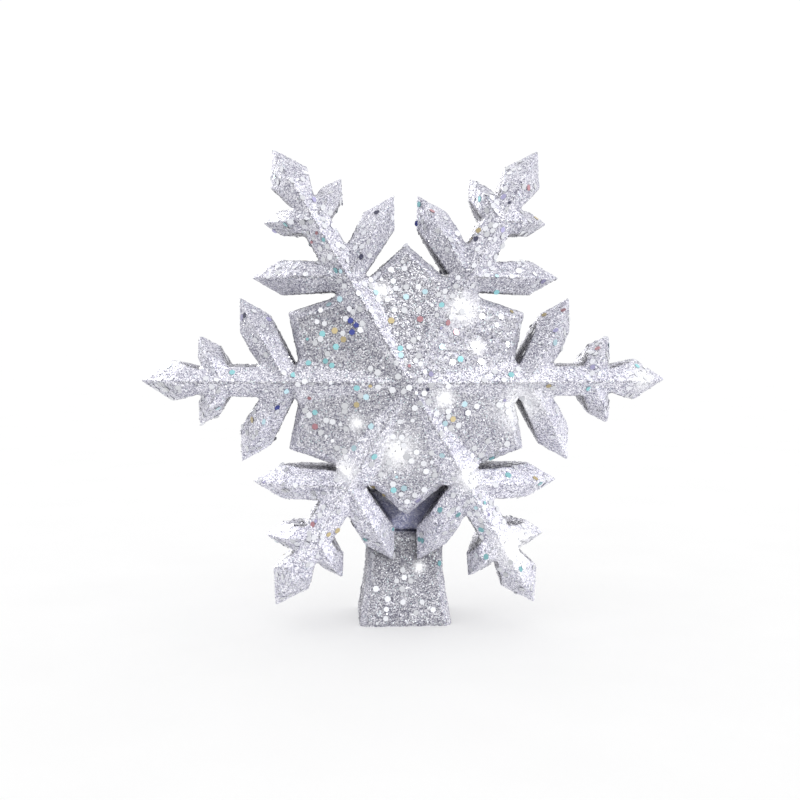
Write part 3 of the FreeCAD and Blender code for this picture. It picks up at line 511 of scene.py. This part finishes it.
# ======================================================================= hexagonal flakes and coarse grains
FLAKE_TINTS = {                                # tint: (share, colour, metallic)
    "silver": (0.850, (0.79, 0.80, 0.84), 0.25),
    "teal": (0.045, (0.30, 0.62, 0.66), 0.35),
    "ice_blue": (0.038, (0.55, 0.76, 0.84), 0.30),
    "blue": (0.002, (0.07, 0.09, 0.36), 0.45),
    "gold": (0.018, (0.58, 0.48, 0.27), 0.35),
    "rose": (0.014, (0.44, 0.22, 0.25), 0.35),
    "violet": (0.024, (0.42, 0.40, 0.62), 0.35),
    "dark": (0.003, (0.07, 0.07, 0.12), 0.40),
}
SINGLES = [                                    # coloured flakes in set places on the front: (tint, x, z), mm
    ("blue", -20, 21.5), ("blue", -18, 20), ("blue", -19.5, 17.5), ("gold", -22.5, 15), ("gold", -25.5, 18),
    ("teal", -26.5, 6), ("teal", -35, 15), ("ice_blue", -27.5, 27), ("gold", -6, 21.5), ("teal", -3, 12),
    ("rose", 0, 6), ("rose", 16.5, 17.5), ("violet", 11, 19), ("rose", 4, 22), ("gold", 37, 24.5),
    ("teal", -18, -1.5), ("gold", -18, -7.5), ("rose", -32.5, -15.5), ("teal", -32.5, -10.5),
    ("ice_blue", -13, -15), ("ice_blue", 19.5, -7.5), ("teal", 36, -33.5), ("teal", 5, -58),
    ("rose", -42, -49), ("rose", 9, 60), ("blue", 4, 56), ("dark", -10.5, 59.5), ("teal", -46.5, 72),
    ("violet", 49, 35.5), ("dark", 24, 50), ("dark", 35.5, 62.5), ("teal", 22.5, 60.5), ("violet", 52.5, 18),
    ("gold", -8.3, -40.6), ("gold", -12.2, -37.1), ("teal", -4.7, -54.2), ("teal", 11.7, -45.8)]
FLAKE_SHADES = (0.45, 1.0)                     # the darkest and brightest flakes of a tint
FLAKE_RADIUS = (1.14 * MM, 0.06 * MM)          # mean and spread
SMALL_FLAKE_RADIUS = (0.55 * MM, 0.85 * MM)    # smallest and largest
SMALL_SHARE = 0.22
FLAKE_THICKNESS = 0.06 * MM
FLAKE_LIFT = 0.20 * MM
FLAKE_LEAN = 0.055
FLAKE_SPACING = 1.75 * MM
LOWEST_FLAKE = FLOOR_Z + 1.3 * MM              # so that no flake hangs under the socket's rim
LOOSE_CHANCE = 0.15                            # of a flake staying where there is no clump
CLUMP_CHANCE = 0.9                             # more at a clump's middle
TRIES = 14                                     # places tried for each flake
FACES_SPRAY = 0.3                              # how squarely a face meets the spray to take its full share
FACES_AWAY = -0.05                             # and from where it takes none; walls lie between the two
WALL_TAKES = 0.25                              # of the full share
LEVEL = 0.8                                    # the socket's faces that look up or down more take none
NO_AREA = 1e-12                                # square metres; triangles thinner than this are dropped
CHIP_COUNTS = {"front_shell": 6500, "rear_shell": 5200, "tree_socket": 1200}
CHIP_COLOUR = (0.74, 0.75, 0.80)
CHIP_METALLIC = 0.20
CHIP_SHADES = (0.15, 1.0)                      # the darkest and brightest chips
CHIP_HALF = (0.22 * MM, 0.42 * MM)             # half a chip's diagonal, smallest and largest
CHIP_THICKNESS = 0.04 * MM
CHIP_LIFT = 0.12 * MM
CHIP_LEAN = 0.30
CLUMPS = [                                     # where flakes lie close together: (x, z, radius), mm
    (2.0, 11.5, 4.5), (5.0, -2.0, 5.0), (-1.0, -37.0, 5.0), (13.0, -15.0, 5.0), (30.0, -26.0, 5.0),
    (-60.0, -14.0, 4.0), (-19.0, 20.0, 3.5), (-32.0, 12.0, 4.0), (12.0, 27.0, 6.0), (-24.0, -14.0, 4.0),
    (-8.0, 32.0, 6.0), (4.0, -30.0, 6.0), (28.0, 55.0, 9.0), (-30.0, 52.0, 8.0), (-55.0, -20.0, 6.0),
    (66.0, 12.0, 6.0), (-38.0, -50.0, 7.0), (25.0, -48.0, 7.0)]
AHEAD = 100 * MM                               # clear of everything in front of the shells


def triangles(node):
    """(corners, normals, areas) of a CAD node's triangles."""
    mesh = frame["nodes"][node].data
    mesh.calc_loop_triangles()
    points = np.array([v.co for v in mesh.vertices])
    corners = points[np.array([t.vertices for t in mesh.loop_triangles])]
    cross = np.cross(corners[:, 1] - corners[:, 0], corners[:, 2] - corners[:, 0])
    length = np.linalg.norm(cross, axis=1)
    keep = length > NO_AREA
    return corners[keep], cross[keep] / length[keep, None], length[keep] / 2.0


def spray_weights(node, spray):
    """(corners, normals, shares) of a node's triangles: how much glitter each takes. Walls take less."""
    corners, normals, areas = triangles(node)
    weight = areas.copy()
    if spray is not None:
        facing = normals @ np.array(spray)
        weight *= np.where(facing > FACES_SPRAY, 1.0, np.where(facing > FACES_AWAY, WALL_TAKES, 0.0))
    else:
        weight *= np.where(np.abs(normals[:, 2]) < LEVEL, 1.0, 0.0)
    return corners, normals, weight / weight.sum()


def search_tree(meshes):
    """One search tree over several meshes."""
    points, faces = [], []
    for mesh in meshes:
        start = len(points)
        points += [v.co.copy() for v in mesh.vertices]
        faces += [[start + i for i in p.vertices] for p in mesh.polygons]
    return BVHTree.FromPolygons(points, faces)


def outside(tree, point, normal, spray):
    """True where the spray reaches: nothing stands in front of the point."""
    start = point + normal * CLEAR_OF_LUMPS
    away = spray if spray is not None else normal
    return tree.ray_cast(start, away)[0] is None


def on_coat(tree, bare):
    """The place on the coat over a point of the bare surface, or None where the coat is far off."""
    place, _, _, distance = tree.find_nearest(bare)
    return place if distance < COAT_REACH else None


def random_place(tree, corners, rng):
    """A random place on the coat over a triangle of the bare surface, or None."""
    a, b = sorted(rng.random(2))
    return on_coat(tree, Vector(np.array([a, b - a, 1.0 - b]) @ corners))


def clumping(point):
    """Chance that a flake stays at a point: small in general, up to 1 inside a clump."""
    x, z = point.x - CENTRE.x, point.z - CENTRE.z
    near = [math.exp(-((x - cx * MM) ** 2 + (z - cz * MM) ** 2) / (r * MM) ** 2) for cx, cz, r in CLUMPS]
    return min(1.0, LOOSE_CHANCE + CLUMP_CHANCE * max(near))


def scatter(rng, node, spray, count, tree, taken):
    """Random places on a node's outside: [(point, normal), ...] no closer than the spacing."""
    corners, normals, weight = spray_weights(node, spray)
    found = []
    for pick in rng.choice(len(weight), size=count * TRIES, p=weight):
        point, normal = random_place(tree, corners[pick], rng), Vector(normals[pick])
        if point is None or point.z < LOWEST_FLAKE or rng.random() > clumping(point):
            continue
        if any((point - other).length < FLAKE_SPACING for other in taken):
            continue
        if not outside(tree, point, normal, spray):
            continue
        taken.append(point)
        found.append((point, normal))
        if len(found) == count:
            break
    return found


class Plates:
    """Corners, faces and tones of many small flat plates."""

    def __init__(self, sides, thickness):
        self.sides = sides
        self.thickness = thickness
        self.points, self.faces, self.tones = [], [], []

    def add(self, point, normal, radius, turn, tone):
        """One plate: a ring of corners below, a ring above, and the faces between."""
        start, count = len(self.points), self.sides
        side = normal.orthogonal().normalized()
        other = normal.cross(side)
        for height in (0.0, self.thickness):
            for k in range(count):
                a = turn + k * math.tau / count
                reach = side * radius * math.cos(a) + other * radius * math.sin(a)
                self.points.append(point + reach + normal * height)
        self.faces.append([start + count - 1 - k for k in range(count)])
        self.faces.append([start + count + k for k in range(count)])
        for k in range(count):
            n = (k + 1) % count
            self.faces.append([start + k, start + n, start + count + n, start + count + k])
        self.tones += [tone] * (2 * count)


def singles(tree):
    """The coloured flakes with set places, put on the front: [(point, normal, tint), ...]."""
    found = []
    bare = search_tree([frame["nodes"][node].data for node in SPRAYED])
    for tint, x, z in SINGLES:
        start = CENTRE + Vector((x * MM, 0.0, z * MM)) + FRONT * AHEAD
        hit, normal, _, _ = bare.ray_cast(start, -FRONT)
        point = on_coat(tree, hit) if hit is not None else None
        if point is not None:
            found.append((point, normal, tint))
    return found


def foil_piece(name, plates, material):
    """One piece made of many small plates, which rides on the snowflake."""
    mesh = bpy.data.meshes.new(name)
    mesh.from_pydata(plates.points, [], plates.faces)
    mesh.attributes.new("tone", "FLOAT", "POINT").data.foreach_set("value", plates.tones)
    mesh.materials.append(material)
    obj = bpy.data.objects.new(name, mesh)
    bpy.context.scene.collection.objects.link(obj)
    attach(obj, "flake")


def flakes(tree):
    """Foil flakes on the shells and socket, one piece per tint."""
    rng = np.random.default_rng(SEED)
    names = list(FLAKE_TINTS)
    chosen = singles(tree)
    taken = [point for point, _, _ in chosen]
    places = []
    for node, (spray, count) in SPRAYED.items():
        places += scatter(rng, node, spray, count, tree, taken)
    shares = np.array([FLAKE_TINTS[n][0] for n in names])
    tints = rng.choice(len(names), size=len(places), p=shares / shares.sum())
    tints = list(tints) + [names.index(tint) for _, _, tint in chosen]
    places += [(point, normal) for point, normal, _ in chosen]
    for index, name in enumerate(names):
        plates = Plates(6, FLAKE_THICKNESS)
        for (point, normal), tint in zip(places, tints):
            lean = Vector(rng.normal(0.0, FLAKE_LEAN, 3))
            small = rng.random() < SMALL_SHARE
            radius = rng.uniform(*SMALL_FLAKE_RADIUS) if small else rng.normal(*FLAKE_RADIUS)
            turn = rng.uniform(0.0, math.pi / 3.0)
            tone = rng.random()
            if tint == index:
                plates.add(point + normal * FLAKE_LIFT, (normal + lean).normalized(), radius, turn, tone)
        _, colour, metallic = FLAKE_TINTS[name]
        foil_piece("foil_flakes_" + name, plates, foil("foil_" + name, colour, metallic, FLAKE_SHADES))


def chips(tree):
    """Coarser square grains of glitter that stand a little off the surface, each at its own tilt."""
    rng = np.random.default_rng(SEED + 1)
    material = foil("chip_foil", CHIP_COLOUR, CHIP_METALLIC, CHIP_SHADES)
    for node, (spray, _) in SPRAYED.items():
        corners, normals, weight = spray_weights(node, spray)
        plates = Plates(4, CHIP_THICKNESS)
        for pick in rng.choice(len(weight), size=CHIP_COUNTS[node], p=weight):
            point, normal = random_place(tree, corners[pick], rng), Vector(normals[pick])
            tilted = (normal + Vector(rng.normal(0.0, CHIP_LEAN, 3))).normalized()
            half, turn, tone = rng.uniform(*CHIP_HALF), rng.uniform(0.0, math.pi / 2.0), rng.random()
            if point is None or not outside(tree, point, normal, spray):
                continue
            base = point + normal * CHIP_LIFT - tilted * (0.5 * CHIP_THICKNESS)
            plates.add(base, tilted, half, turn, tone)
        foil_piece("glitter_chips_" + node, plates, material)


# ======================================================================= room
FLOOR_HALF = 40.0                              # metres, half the floor's side
FLOOR_GLOW = 0.40                              # share of the pale floor's light that comes from under it
SURROUNDINGS = 1.03                            # brightness of the white room
KEY = ("key", (0.66, -1.00, 0.50), 0.38, 12.5)     # name, place from the snowflake's centre, size, watts
BACK = ("back", (-0.70, 0.90, 0.50), 0.60, 13.0)
SENSOR = 36.0                                  # mm


def floor():
    """Wide pale floor, lit a little from below so that the shadow on it stays faint."""
    g = Graph("pale_floor")
    cloud = g.between(g.noise(0.05), *NOISE_SPAN, 0.980 - FLOOR_GLOW, 0.995 - FLOOR_GLOW)
    white = (1.0, 1.0, 1.0)
    shade = g.vector("SCALE", white, scale=cloud)
    material = g.surface(Base_Color=shade, Roughness=1.0, Specular_IOR_Level=0.0,
                         Emission_Color=white, Emission_Strength=FLOOR_GLOW)
    signs = ((-1, -1), (1, -1), (1, 1), (-1, 1))
    points = [(x * FLOOR_HALF, y * FLOOR_HALF, FLOOR_Z) for x, y in signs]
    mesh = bpy.data.meshes.new("floor")
    mesh.from_pydata(points, [], [(0, 1, 2, 3)])
    mesh.materials.append(material)
    obj = bpy.data.objects.new("floor", mesh)
    bpy.context.scene.collection.objects.link(obj)


def area_light(name, place, size, power):
    """A round soft light that shines on the object and not on the floor."""
    data = bpy.data.lights.new(name, "AREA")
    data.shape = "DISK"
    data.size = size
    data.energy = power
    obj = bpy.data.objects.new(name, data)
    obj.location = CENTRE + Vector(place)
    obj.rotation_mode = "QUATERNION"
    obj.rotation_quaternion = (CENTRE - obj.location).to_track_quat("-Z", "Y")
    bpy.context.scene.collection.objects.link(obj)
    obj.light_linking.receiver_collection = lit_objects()


def lit_objects():
    """The collection of everything but the floor, for the lights to shine on."""
    group = bpy.data.collections.get("lit")
    if group is None:
        group = bpy.data.collections.new("lit")
        for obj in bpy.context.scene.objects:
            if obj.type == "MESH" and obj.name != "floor":
                group.objects.link(obj)
    return group


def studio():
    """Even pale surroundings, a soft light above to the right and another behind."""
    world = bpy.data.worlds.new("surroundings")
    world.use_nodes = True
    background = world.node_tree.nodes["Background"]
    background.inputs["Color"].default_value = (1.0, 1.0, 1.0, 1.0)
    background.inputs["Strength"].default_value = SURROUNDINGS
    bpy.context.scene.world = world
    area_light(*KEY)
    area_light(*BACK)
    view = bpy.context.scene.view_settings
    view.view_transform = "Standard"
    view.look = "None"


def camera():
    """Near-frontal, a little above and to the left of the snowflake's centre."""
    data = bpy.data.cameras.new("camera")
    data.sensor_width = SENSOR
    data.lens = SENSOR * CAMERA_DISTANCE / FRAME_WIDTH
    data.clip_start, data.clip_end = 0.01, 100.0
    obj = bpy.data.objects.new("camera", data)
    rise = math.radians(CAMERA_ELEVATION)
    turn = math.radians(CAMERA_TO_LEFT)
    aim = CENTRE + Vector((-AIM_LEFT, 0.0, -AIM_BELOW_CENTRE))
    back = Vector((-math.sin(turn) * math.cos(rise), -math.cos(turn) * math.cos(rise), math.sin(rise)))
    obj.location = aim + back * CAMERA_DISTANCE
    obj.rotation_mode = "QUATERNION"
    obj.rotation_quaternion = (-back).to_track_quat("-Z", "Y")
    bpy.context.scene.collection.objects.link(obj)
    bpy.context.scene.camera = obj


dress()
tree = search_tree(coat())
flakes(tree)
chips(tree)
floor()
studio()
camera()
